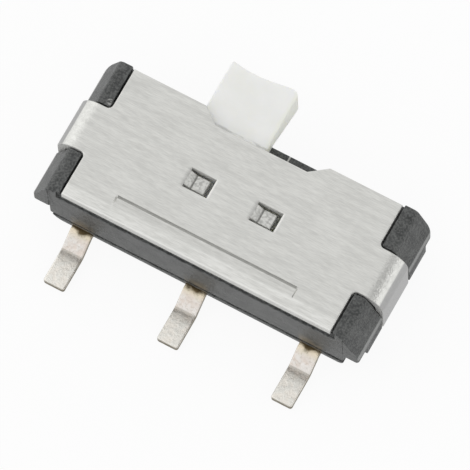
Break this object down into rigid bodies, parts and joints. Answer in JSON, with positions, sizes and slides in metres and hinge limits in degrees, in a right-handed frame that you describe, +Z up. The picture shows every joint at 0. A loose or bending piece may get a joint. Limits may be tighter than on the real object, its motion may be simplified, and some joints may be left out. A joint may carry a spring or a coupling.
{
  "type": "slide_switch",
  "caption": "Side-actuated surface-mount slide switch with a brushed steel cover, a black moulded base, gull-wing terminals and a white slider knob.",
  "frame": {"origin": "On the circuit board, under the middle of the base.", "axes": "+X runs along the switch and is the way the knob slides from its rest position, +Y points to the knob, -Y to the terminals, +Z is up from the board."},
  "size_m": [0.0072, 0.0053, 0.0018],
  "materials": {
    "cover_steel": "fine brush lines along the length",
    "base_plastic": "satin moulded black",
    "terminal_plating": "bright plating over stamped copper alloy",
    "slider_plastic": "satin off-white moulding",
    "contact_bronze": "bright spring strip"
  },
  "bodies": {
    "housing": {"base": "base_plastic", "cover": "cover_steel", "terminal_left": "terminal_plating", "terminal_centre": "terminal_plating", "terminal_right": "terminal_plating"},
    "actuator": {"slider": "slider_plastic", "moving_contact": "contact_bronze"}
  },
  "joints": [
    {"name": "knob_slide", "type": "slide", "parent": "housing", "child": "actuator", "axis": [1, 0, 0], "range_m": [0, 0.00132]}
  ]
}
